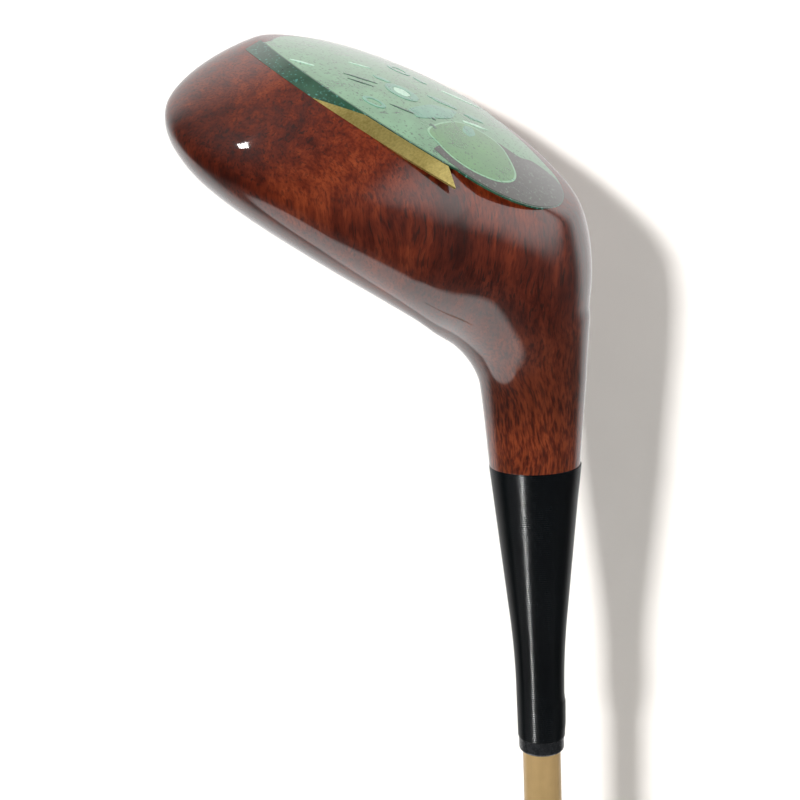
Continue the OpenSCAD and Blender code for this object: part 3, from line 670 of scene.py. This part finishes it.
for tone, rows in marks.items():
    shapes = [soleSlab(ellipseLine(at, reach, turn, 48, wave), sole["markLift"], at, 0.25, 8, 0.05)
              for at, reach, turn, wave in rows]
    if tone == "turquoise":
        shapes += [ringSlab(at, outer, inner, turn, sole["ringLift"]) for at, outer, inner, turn in rings]
    makePiece(tone + "Marks", together(shapes), "sole_marks", markCoats[tone])
print("sole done")

# Face insert, its grooves and screws
face = {
    "top": 30.0, "width": 32.0, "footRatio": 0.8, "height": 25.0, "thick": 1.6,
    "lines": 6, "pitch": 3.6, "lineWidth": 0.8, "lineDepth": 0.35, "lineLength": 23.0,
    "screws": [(-9, 6), (9, 6), (-9, 19), (9, 19)], "screwRadius": 2.6,
    "corner": 5.0, "cornerIn": 4.0, "flareFrom": 8.0,      # cut corners, and where the sides start to flare
    "firstLine": 4.0, "lineFade": 0.8, "lineEase": 0.2,
    "slotHalf": 0.45, "slotDepth": 0.5,
}


# Loft frame to head frame, then the depth is set by the face ball, less the groove's depth
def onFace(x, y, sunk):
    u = face["top"] + x
    w = y * math.cos(loftAngle)
    v = faceReach(u, w) - sunk
    return np.stack([u, v, w + 0 * u], -1)


# Lowest height on the face at which a point at x is still above the plate, found by three passes
def faceFoot(x):
    y = np.full_like(x, face["thick"])
    for _ in range(3):
        p = onFace(x, y, 0.0)
        y = soleHeight(p[..., 0], p[..., 1], face["thick"]) / math.cos(loftAngle)
    return y


# Insert: rows from above the plate to the top edge, straight flaring sides with cut corners, and each
# groove a clipped ramp in y, faded out towards its ends
def insertShape():
    high = face["height"] + face["thick"]
    share = np.linspace(0, 1, 210)[:, None]
    side = np.linspace(-1, 1, 72)[None, :]
    foot = face["width"] * face["footRatio"] / 2
    widest = face["width"] / 2
    low = faceFoot(side * (foot + 1.0)) + 0.15
    y = low + (high - low) * share
    corner = high - face["corner"] - face["thick"]
    flare = foot + (widest - foot) * (y + face["flareFrom"]) / (corner + face["flareFrom"])
    half = np.where(y < corner, flare, widest - (y - corner) * face["cornerIn"] / (high - corner))
    x = side * half
    halfLine = face["lineLength"] / 2
    fade = easeBetween(halfLine, halfLine - face["lineFade"], np.abs(x))
    groove = np.zeros_like(x)
    for i in range(face["lines"]):
        middle = face["thick"] + face["firstLine"] + i * face["pitch"] + face["lineWidth"] / 2
        across = np.clip((face["lineWidth"] / 2 - np.abs(y - middle)) / face["lineEase"], 0, 1)
        groove = np.maximum(groove, across * fade)
    front = onFace(x, y, -0.05 + groove * face["lineDepth"])
    back = onFace(x, y, 2.0 + 0 * groove)
    return closedGrid(toClub(np.concatenate([front, back[:, ::-1]], axis=1)))


makePiece("faceInsert", insertShape(), "face_insert", finishes["insert_resin"])


# Screw head: discs of shrinking radius, with a slot across sunk by a clipped ramp
def screwHead(at, turn):
    a = np.linspace(0, 2 * math.pi, 64, endpoint=False)[None, :]
    r = np.linspace(0.04, 1, 20)[:, None] * face["screwRadius"]
    x, y = r * np.cos(a), r * np.sin(a)
    slotSide = np.abs(-math.sin(turn) * x + math.cos(turn) * y)
    sunk = np.clip((face["slotHalf"] - slotSide) / 0.15, 0, 1) * face["slotDepth"]
    edge = easeBetween(face["screwRadius"] - 0.25, face["screwRadius"], r) * 0.12
    top = onFace(at[0] + x, face["thick"] + at[1] + y, -0.12 + sunk + edge)
    back = onFace(at[0] + x, face["thick"] + at[1] + y, 1.2 + 0 * x)[::-1]
    return closedGrid(toClub(np.concatenate([top, back])))


makePiece("faceScrews", together([screwHead(at, 0.5 + 1.1 * k) for k, at in enumerate(face["screws"])]),
          "face_insert_screws", finishes["brass_screws"])
print("face done")

# Whipping, ferrule and shaft
whip = {
    "length": 66.0, "endRadius": 5.5, "easeAt": 45.0, "easeRadius": 5.75, "thick": 0.6,
    "turnPitch": 0.5, "turnDepth": 0.09, "rowsPerTurn": 5, "sides": 132,
    "sideAngle": 0.46,       # where the thread's end is tucked in, as an angle round the shaft
    "tuckStart": 57.0, "tuckSwell": 0.26, "topSwell": 0.12, "tuckTurns": 20,
}
topHeight = whipTop / metresPerMm


# Taper of the wound cone: straight to the easing point, then nearly parallel, rounded between
def whipRadius(down):
    steep = head["neckRadius"] + (whip["easeRadius"] - head["neckRadius"]) * down / whip["easeAt"]
    flat = whip["easeRadius"] + (whip["endRadius"] - whip["easeRadius"]) * (down - whip["easeAt"]) / (
        whip["length"] - whip["easeAt"])
    return softMax(steep, flat, 0.8)


# Share of the swell at an angle round the shaft: the cosine from the tucked side, to the power 1.5
def tuckedSide(a):
    return np.clip(np.cos(a - whip["sideAngle"]), 0, 1) ** 1.5


# Wound thread: each turn is a round back, the root of |sin| of the turn, on the taper; the tuck swells one side
def whippingShape():
    turns = int(whip["length"] / whip["turnPitch"])
    share = np.arange(turns * whip["rowsPerTurn"] + 1) / whip["rowsPerTurn"]
    down = (share * whip["turnPitch"])[:, None]
    a = np.linspace(0, 2 * math.pi, whip["sides"], endpoint=False)[None, :]
    ridge = np.sqrt(np.abs(np.sin(math.pi * share[:, None])))
    swell = (whip["tuckSwell"] * easeBetween(whip["tuckStart"] - 0.4, whip["tuckStart"] + 0.4, down)
             * easeBetween(whip["length"] + 0.5, whip["length"] - 3.5, down) * tuckedSide(a)
             + whip["topSwell"] * easeBetween(9.0, 2.0, down) * tuckedSide(a))
    r = whipRadius(down) - whip["turnDepth"] * (1 - ridge) + swell
    z = topHeight - down + 0 * a
    outer = np.stack([r * np.cos(a), r * np.sin(a), z], -1)
    inner = outer[::-1][::33].copy()
    reach = np.hypot(inner[..., 0], inner[..., 1])
    inner[..., :2] *= ((reach - whip["thick"] + 0.1) / reach)[..., None]
    return closedGrid(np.concatenate([outer, inner]) * metresPerMm, rowsWrap=True)


threadWhipping = makePiece("threadWhipping", whippingShape(), "neck_whipping",
                           finishes["whipping_thread"], sharp=80)


# Buried end: a shorter wound sleeve, thicker on one side, that shows as the swell of the last turns
def tuckShape():
    share = np.arange(whip["tuckTurns"] * whip["rowsPerTurn"] + 1) / whip["rowsPerTurn"]
    down = (whip["tuckStart"] - 1.0 + share * whip["turnPitch"])[:, None]
    a = np.linspace(0, 2 * math.pi, whip["sides"], endpoint=False)[None, :]
    ridge = 0.05 * (1 - np.abs(np.sin(math.pi * share)))[:, None]
    r = whipRadius(down) - 0.22 + (whip["tuckSwell"] + 0.05) * tuckedSide(a) - ridge
    outer = np.stack([r * np.cos(a), r * np.sin(a), topHeight - down + 0 * a], -1)
    inner = outer[::-1][::20].copy()
    inner[..., :2] *= 0.93
    return closedGrid(np.concatenate([outer, inner]) * metresPerMm, rowsWrap=True)


threadTuck = makePiece("threadTuck", tuckShape(), "whipping_end_band",
                       finishes["whipping_thread"], sharp=80)

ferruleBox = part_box("neck_ferrule")
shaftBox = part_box("shaft")
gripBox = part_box("grip_sleeve")
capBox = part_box("grip_cap")
ferrule = {"endRadius": 5.3, "round": 0.7}


# Ferrule: hidden taper, then the short rounded end that shows under the thread
def ferruleShape():
    top = ferruleBox[1].z / metresPerMm
    low = ferruleBox[0].z / metresPerMm
    cone = np.linspace(top, topHeight - whip["length"], 40)
    coneR = whipRadius(topHeight - cone) - whip["thick"]
    lip = np.linspace(0, math.pi / 2, 14)
    lipZ = low + ferrule["round"] * (1 - np.sin(lip))
    lipR = ferrule["endRadius"] - ferrule["round"] * (1 - np.cos(lip))
    z = np.concatenate([[top], cone, [topHeight - whip["length"], low + 1.6], lipZ])
    r = np.concatenate([[0.5], coneR, [ferrule["endRadius"] + 0.02, ferrule["endRadius"]], lipR])
    return turned(z * metresPerMm, r * metresPerMm, 128)


makePiece("neckFerrule", ferruleShape(), "neck_ferrule", finishes["ferrule_plastic"])

shaft = {"tipRadius": 4.45, "buttRadius": 7.6, "steps": 11, "firstStep": 300.0, "pitch": 42.0,
         "stepLength": 1.0}


# Stepped tube: the radius falls by one step at each height, over a short rounded shoulder
def shaftShape():
    low, high = shaftBox[0].z / metresPerMm, shaftBox[1].z / metresPerMm
    z, r = [low, low + 0.3], [shaft["buttRadius"] - 0.3, shaft["buttRadius"]]
    drop = (shaft["buttRadius"] - shaft["tipRadius"]) / shaft["steps"]
    for i in range(shaft["steps"]):
        foot = shaft["firstStep"] + i * shaft["pitch"]
        t = np.linspace(0, 1, 9)
        z += (foot + t * shaft["stepLength"]).tolist()
        r += (shaft["buttRadius"] - drop * (i + t * t * (3 - 2 * t))).tolist()
    plain = np.linspace(z[-1] + 5, high - 0.3, 30)
    z, r = z + plain.tolist() + [high], r + [shaft["tipRadius"]] * 30 + [shaft["tipRadius"] - 0.3]
    return turned(np.array(z) * metresPerMm, np.array(r) * metresPerMm, 128)


makePiece("goldShaft", shaftShape(), "shaft", finishes["shaft_gold"])

# Grip and cap
grip = {"buttRadius": 13.2, "mouthRadius": 9.4, "rows": 560, "sides": 144, "cutDepth": 0.42, "crossings": 16,
        "crossPitch": 0.30, "boreRadius": 7.9, "boreRows": 6}


# Grip: taper with a fuller butt, a crossed pattern of two families of helical grooves, plain rings between
def gripShape():
    low, high = gripBox[0].z / metresPerMm, gripBox[1].z / metresPerMm
    z = np.linspace(low, high, grip["rows"])[:, None]
    a = np.linspace(0, 2 * math.pi, grip["sides"], endpoint=False)[None, :]
    body = np.interp(z, [low, low + 12, low + 26, high - 2, high],
                     [grip["buttRadius"], grip["buttRadius"], grip["buttRadius"] - 1.2, grip["mouthRadius"],
                      grip["mouthRadius"] - 0.6])
    one = np.abs(np.sin(grip["crossings"] / 2 * a + grip["crossPitch"] * z))
    two = np.abs(np.sin(grip["crossings"] / 2 * a - grip["crossPitch"] * z))
    cut = np.exp(-(np.minimum(one, two) / 0.22) ** 2)
    bands = easeBetween(low + 34, low + 36, z) * easeBetween(high - 22, high - 24, z)
    middle = 1 - easeBetween(low + 128, low + 129, z) * easeBetween(low + 141, low + 140, z)
    ringPlaces = (low + 16, low + 30, low + 131, low + 138, high - 10, high - 6)
    ringCut = sum(np.exp(-((z - at) / 0.5) ** 2) for at in ringPlaces)
    r = body - grip["cutDepth"] * cut * bands * middle - 0.4 * ringCut
    outer = np.stack([r * np.cos(a), r * np.sin(a), z + 0 * a], -1)
    boreZ = np.linspace(high, low, grip["boreRows"])[:, None]
    inner = np.stack([grip["boreRadius"] * np.cos(a) + 0 * boreZ, grip["boreRadius"] * np.sin(a) + 0 * boreZ,
                      boreZ + 0 * a], -1)
    return closedGrid(np.concatenate([outer, inner]) * metresPerMm, rowsWrap=True)


makePiece("rubberGrip", gripShape(), "grip_sleeve", finishes["grip_rubber"])

cap = {"flange": 4.0, "radius": 13.2, "chamfer": 0.8, "vent": 1.6, "plug": 7.0, "plugBore": 5.2}


# Cap: closed section turned round the axis, with the vent through it and two shallow rings on its end
def capShape():
    high = capBox[1].z / metresPerMm
    t = np.linspace(0, math.pi / 2, 10)
    edgeR = cap["radius"] - cap["chamfer"] + cap["chamfer"] * np.sin(t)
    edgeZ = cap["chamfer"] * (1 - np.cos(t))
    faceR = np.linspace(cap["vent"] + 0.2, cap["radius"] - cap["chamfer"] - 0.3, 60)
    faceZ = 0.25 * (np.exp(-((faceR - 9) / 0.35) ** 2) + np.exp(-((faceR - 6) / 0.35) ** 2))
    r = np.concatenate([[cap["plugBore"], cap["plugBore"], cap["vent"], cap["vent"]], faceR, edgeR,
                        [cap["radius"], cap["plug"], cap["plug"]]])
    z = np.concatenate([[high, cap["flange"], cap["flange"], 0.2], faceZ, edgeZ,
                        [cap["flange"], cap["flange"], high]])
    return turned(z * metresPerMm, r * metresPerMm, 128, rowsWrap=True)


makePiece("gripCap", capShape(), "grip_cap", finishes["cap_rubber"])

# CAD nodes that stay: they get their slot's finish
slotOf = {row["node"]: row["material_slot"] for row in frame["record"]["subparts"]}
for name, node in frame["nodes"].items():
    node.data.materials.clear()
    node.data.materials.append(finishes[slotOf[name]])
print("club done")

# Camera, floor, backdrop and lights. The camera's place is in millimetres from the head's own origin
view = {
    "place": (107.35, -265.37, 6.05), "forward": (-0.460, 0.865, -0.203), "up": (-0.055, 0.200, 0.978),
    "lens": 58.5, "sensor": 36.0,
}
forward = Vector(view["forward"]).normalized()
right = forward.cross(Vector(view["up"])).normalized()
upward = right.cross(forward)
cameraData = bpy.data.cameras.new("clubCamera")
cameraData.lens, cameraData.sensor_width = view["lens"], view["sensor"]
cameraData.clip_start = 0.01
camera = bpy.data.objects.new("clubCamera", cameraData)
turn = Matrix((right, upward, -forward)).transposed().to_4x4()
eye = Vector(view["place"]) * metresPerMm + Vector((0, 0, groundLine))
camera.matrix_world = Matrix.Translation(eye) @ turn
bpy.context.scene.collection.objects.link(camera)
bpy.context.scene.camera = camera

stage = {"floorReach": 3.0, "wallGap": 0.058, "wallHalf": 1.6, "wallHeight": 2.4}


# Paper: near-white, with a faint mottle; the wall's back lets rays through
def paperFinish(name, colour, oneSided):
    t = Tree(name, Roughness=0.85)
    mottle = t.noise(t.place, 30.0, 3.0)
    t.into("Base Color", t.ramp(mottle, [(0.3, [c * 0.98 for c in colour]), (0.7, colour)]))
    if oneSided:
        clear = t.add("ShaderNodeBsdfTransparent")
        side = t.add("ShaderNodeNewGeometry").outputs["Backfacing"]
        both = t.add("ShaderNodeMixShader", {0: side, 1: t.shader.outputs[0], 2: clear.outputs[0]})
        t.links.new(both.outputs[0], t.nodes["Material Output"].inputs["Surface"])
    return t.material


# Flat sheet through four corners, kept out of the lacquer's reflections
def paperSheet(name, corners, material):
    mesh = bpy.data.meshes.new(name)
    mesh.from_pydata([tuple(c) for c in corners], [], [(0, 1, 2, 3)])
    mesh.materials.append(material)
    sheet = bpy.data.objects.new(name, mesh)
    sheet.visible_glossy = False
    bpy.context.scene.collection.objects.link(sheet)


reach = stage["floorReach"]
paperSheet("floorPaper", [(-reach, -reach, 0), (reach, -reach, 0), (reach, reach, 0), (-reach, reach, 0)],
           paperFinish("floorPaper", (0.86, 0.86, 0.85), False))
level = Vector((forward.x, forward.y, 0)).normalized()
side = Vector((level.y, -level.x, 0))
wallFoot = level * stage["wallGap"]
wallCorners = [wallFoot + side * s * stage["wallHalf"] + Vector((0, 0, h)) for s, h in
               ((-1, 0.0), (1, 0.0), (1, stage["wallHeight"]), (-1, stage["wallHeight"]))]
paperSheet("wallPaper", wallCorners, paperFinish("wallPaper", (0.92, 0.885, 0.845), True))

headPlace = Vector((-0.02, 0.0, groundLine))
lamps = {
    # name: (right, up, back from the club in metres), (width, height), power, seen in the lacquer
    "keyLamp": ((-0.90, 0.42, 1.77), (0.18, 0.18), 44.0, False),
    "fillLamp": ((0.9, 0.3, 1.9), (1.6, 1.6), 3.6, False),
    "topLamp": ((-0.9, 1.5, 0.5), (1.2, 1.2), 4.0, False),
    "spotLamp": ((-0.077, 0.30, 0.012), (0.013, 0.008), 0.05, True),
    "streakLamp": ((-0.62, 0.05, 0.78), (0.02, 0.50), 48.0, True),
}
threadOnly = bpy.data.collections.new("threadOnly")
for piece in (threadWhipping, threadTuck):
    threadOnly.objects.link(piece)
for name, (place, size, power, shows) in lamps.items():
    data = bpy.data.lights.new(name, "AREA")
    data.shape, data.size, data.size_y, data.energy = "RECTANGLE", size[0], size[1], power
    lamp = bpy.data.objects.new(name, data)
    at = headPlace + side * place[0] + Vector((0, 0, place[1])) - level * place[2]
    lamp.matrix_world = Matrix.Translation(at) @ (headPlace - at).to_track_quat("-Z", "Y").to_matrix().to_4x4()
    lamp.visible_glossy, lamp.visible_camera = shows, False
    if name == "streakLamp":
        lamp.light_linking.receiver_collection = threadOnly
        lamp.visible_diffuse = False
    bpy.context.scene.collection.objects.link(lamp)

# Room as the lacquer shows it: dim, with white below, white behind the club and a window at the upper
# right. At each direction it is the largest of the eased steps in the cosine to the bright directions
room = {
    "dim": 0.05,
    # direction, cosine where it starts, cosine where it is full, strength
    "bright": [((0.0, 0.0, -1.0), 0.78, 0.86, 2.4), (tuple(level), 0.25, 0.60, 0.95),
               (tuple(side * -0.45 + level * -0.10 + Vector((0, 0, -0.89))), 0.88, 0.93, 2.2),
               (tuple(side * 0.84 + level * -0.28 + Vector((0, 0, 0.46))), 0.80, 0.96, 2.3)],
    "sky": 0.95,             # what is seen past the stage
}
world = bpy.data.worlds.new("studio")
world.use_nodes = True
tree = world.node_tree
direction = tree.nodes.new("ShaderNodeTexCoord").outputs["Generated"]
strength = None
for towards, low, high, power in room["bright"]:
    facing = tree.nodes.new("ShaderNodeVectorMath")
    facing.operation = "DOT_PRODUCT"
    facing.inputs[1].default_value = towards
    tree.links.new(direction, facing.inputs[0])
    ease = tree.nodes.new("ShaderNodeMapRange")
    ease.interpolation_type = "SMOOTHSTEP"
    tree.links.new(facing.outputs["Value"], ease.inputs[0])
    for index, value in enumerate((low, high, room["dim"], power), 1):
        ease.inputs[index].default_value = value
    if strength is not None:
        larger = tree.nodes.new("ShaderNodeMath")
        larger.operation = "MAXIMUM"
        tree.links.new(strength, larger.inputs[0])
        tree.links.new(ease.outputs[0], larger.inputs[1])
        strength = larger.outputs[0]
    else:
        strength = ease.outputs[0]
seen = tree.nodes.new("ShaderNodeLightPath").outputs["Is Camera Ray"]
pick = tree.nodes.new("ShaderNodeMix")
tree.links.new(seen, pick.inputs[0])
tree.links.new(strength, pick.inputs[2])
pick.inputs[3].default_value = room["sky"]
tree.links.new(pick.outputs[0], tree.nodes["Background"].inputs["Strength"])
tree.nodes["Background"].inputs["Color"].default_value = (1.0, 0.99, 0.98, 1)
bpy.context.scene.world = world
bpy.context.scene.view_settings.view_transform = "Standard"
